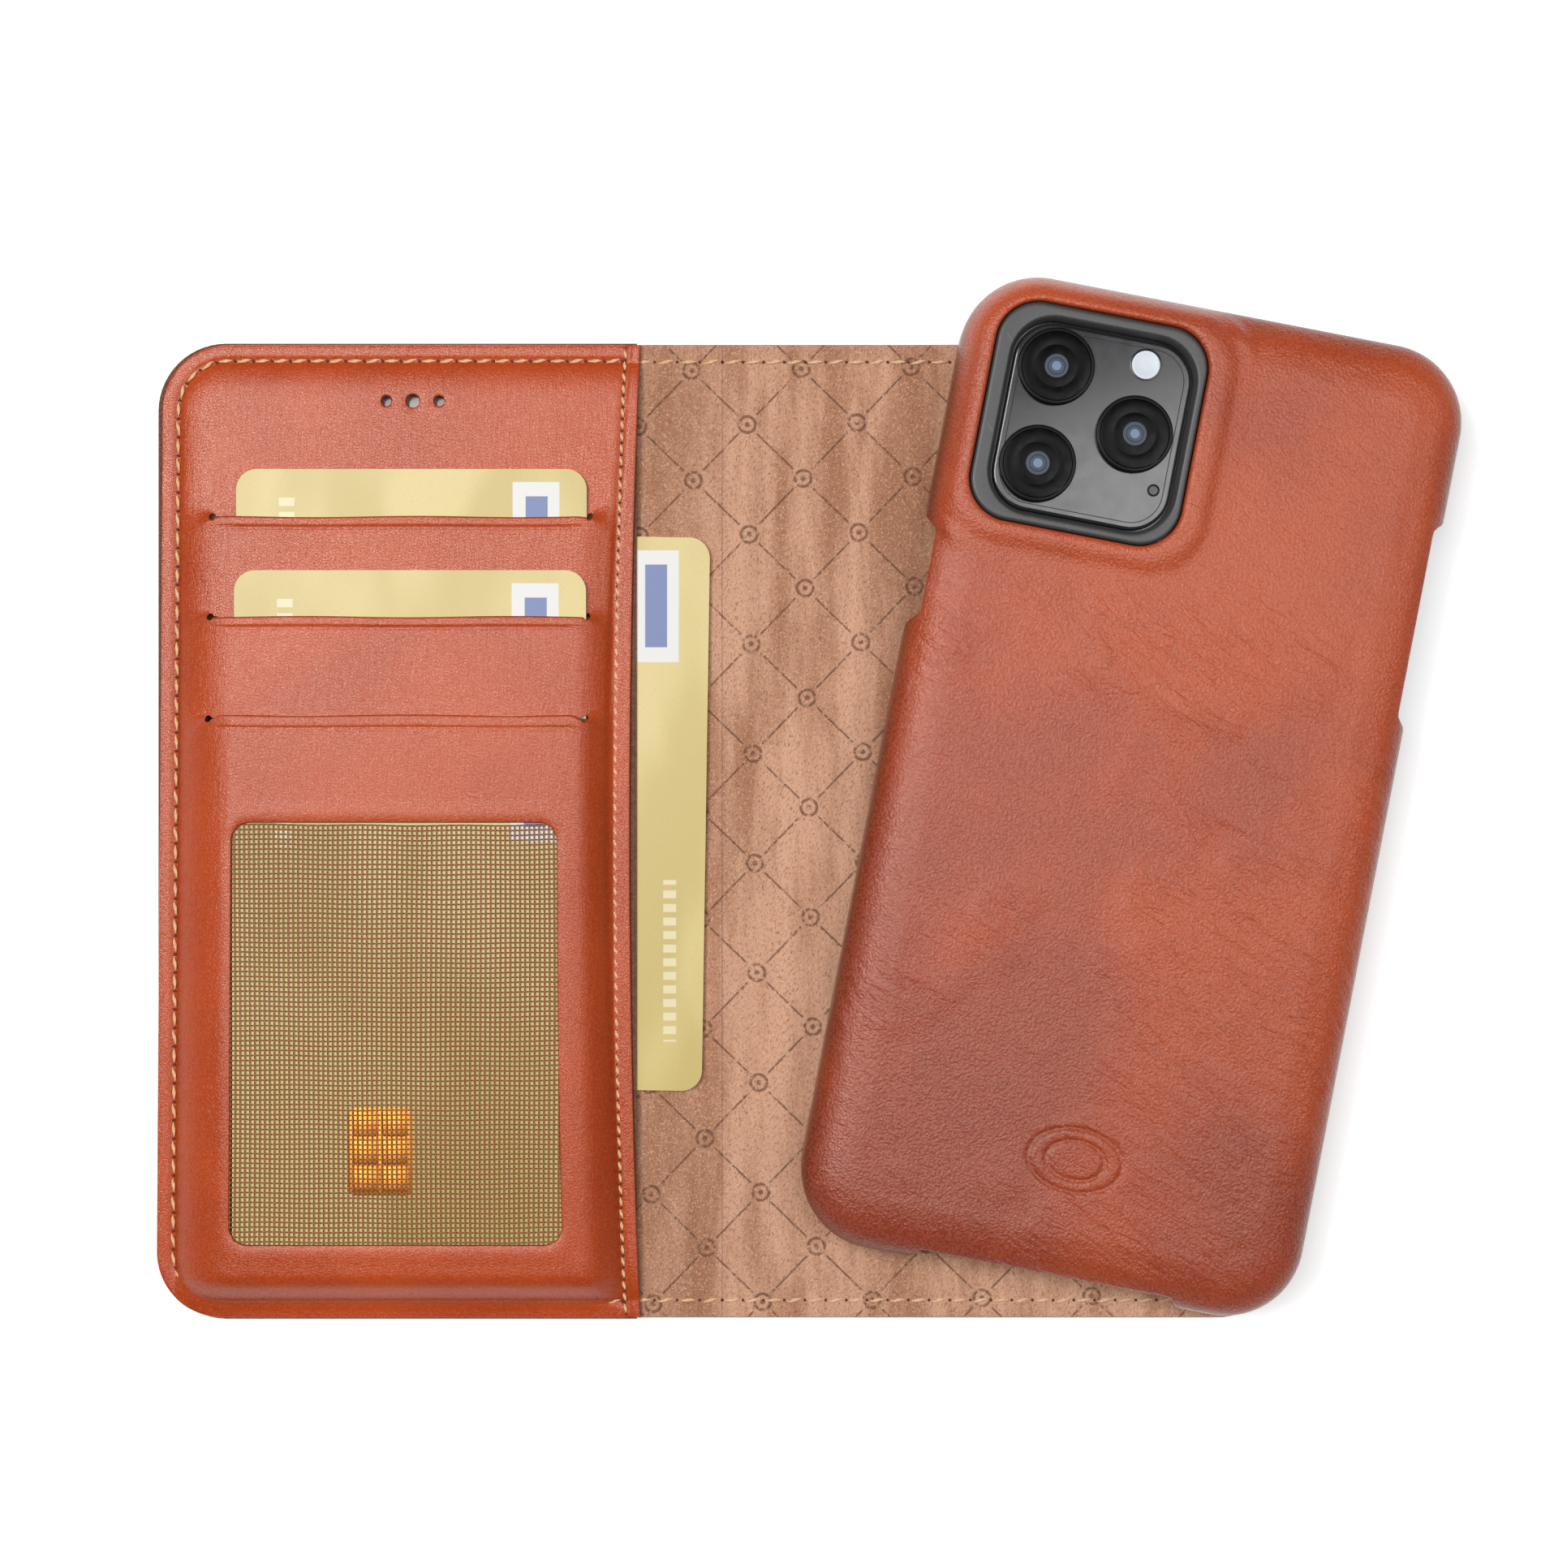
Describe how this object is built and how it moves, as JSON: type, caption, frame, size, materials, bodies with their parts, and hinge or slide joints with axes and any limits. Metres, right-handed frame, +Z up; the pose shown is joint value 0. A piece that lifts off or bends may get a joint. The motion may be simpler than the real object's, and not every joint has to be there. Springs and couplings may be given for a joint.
{
  "type": "phone wallet case",
  "caption": "Open leather folio with card slots, an ID window and a side pocket, and a detachable leather-covered phone shell lying on its back cover.",
  "frame": {"origin": "middle of the spine's outer face, at half the folio's height, on the plane that the folio lies on", "axes": "+X from the spine across the back cover, +Y along the spine towards the sound holes, +Z up from the outer leather to the lining"},
  "size_m": [0.2001, 0.16, 0.0149],
  "materials": {
    "cover_leather": "semi-matt pull-up leather, smooth grain",
    "panel_leather": "semi-matt pull-up leather, smooth grain with shading",
    "suede_lining": "nubuck, brushed, with a darker printed lattice",
    "shell_leather": "red-brown pull-up leather, creased and worn",
    "pocket_textile": "thin woven textile",
    "window_mesh": "fine square mesh",
    "seam_thread": "waxed tan thread",
    "stiff_board": "stiff board, hidden",
    "magnet_metal": "nickel-plated discs, hidden",
    "plate_steel": "thin steel, hidden",
    "core_plastic": "dark satin plastic",
    "microfibre": "soft flocked lining",
    "card_plastic": "pale gold printed card",
    "phone_metal": "satin dark grey",
    "screen_glass": "black glass",
    "camera_glass": "grey frosted glass",
    "lens_ring_metal": "dark polished metal",
    "lens_glass": "black lens glass",
    "flash_plastic": "pale flash lens"
  },
  "bodies": {
    "back_cover": {"back_leather": "cover_leather", "back_lining": "suede_lining", "back_board": "stiff_board", "holding_magnets": "magnet_metal", "edge_seam_back": "seam_thread"},
    "spine": {"spine_leather": "cover_leather", "spine_lining": "suede_lining", "edge_seam_spine": "seam_thread"},
    "front_cover": {"front_leather": "cover_leather", "front_lining": "suede_lining", "front_board": "stiff_board", "pocket_backing": "pocket_textile", "card_panel": "panel_leather", "window_mesh": "window_mesh", "upper_divider": "pocket_textile", "lower_divider": "pocket_textile", "edge_seam_front": "seam_thread", "panel_edge_seam": "seam_thread"},
    "upper_card": {"upper_card": "card_plastic"},
    "middle_card": {"middle_card": "card_plastic"},
    "window_card": {"window_card": "card_plastic"},
    "side_card": {"side_card": "card_plastic"},
    "phone": {"phone_body": "phone_metal", "phone_screen": "screen_glass", "camera_glass": "camera_glass", "lens_rings": "lens_ring_metal", "camera_lenses": "lens_glass", "flash_lens": "flash_plastic", "microphone_mesh": "lens_ring_metal"},
    "shell": {"shell_leather": "shell_leather", "shell_core": "core_plastic", "shell_cushion": "microfibre", "camera_frame": "core_plastic", "shell_plate": "plate_steel"}
  },
  "joints": [
    {"name": "spine_fold", "type": "hinge", "parent": "back_cover", "child": "spine", "pos_m": [0.0091, 0, 0.0026], "axis": [0, -1, 0], "range_deg": [-90, 0]},
    {"name": "cover_fold", "type": "hinge", "parent": "spine", "child": "front_cover", "pos_m": [-0.0091, 0, 0.0026], "axis": [0, -1, 0], "range_deg": [-90, 0], "deforming": ["spine_lining", "spine_leather", "edge_seam_spine"]},
    {"name": "side_card_push", "type": "slide", "parent": "front_cover", "child": "side_card", "axis": [1, 0, 0], "range_m": [-0.0075, 0]},
    {"name": "upper_card_slide", "type": "slide", "parent": "front_cover", "child": "upper_card", "axis": [0, 1, 0], "range_m": [0, 0.078]},
    {"name": "middle_card_slide", "type": "slide", "parent": "front_cover", "child": "middle_card", "axis": [0, 1, 0], "range_m": [0, 0.078]},
    {"name": "window_card_slide", "type": "slide", "parent": "front_cover", "child": "window_card", "axis": [0, 1, 0], "range_m": [0, 0.085]},
    {"name": "phone_lift", "type": "slide", "parent": "back_cover", "child": "phone", "axis": [0, 0, 1], "range_m": [0, 0.04]},
    {"name": "shell_lift", "type": "slide", "parent": "phone", "child": "shell", "axis": [0, 0, 1], "range_m": [0, 0.02]}
  ],
  "couplings": [
    {"joint": "side_card_push", "follows": "cover_fold", "m_per_rad": 0.00477}
  ]
}
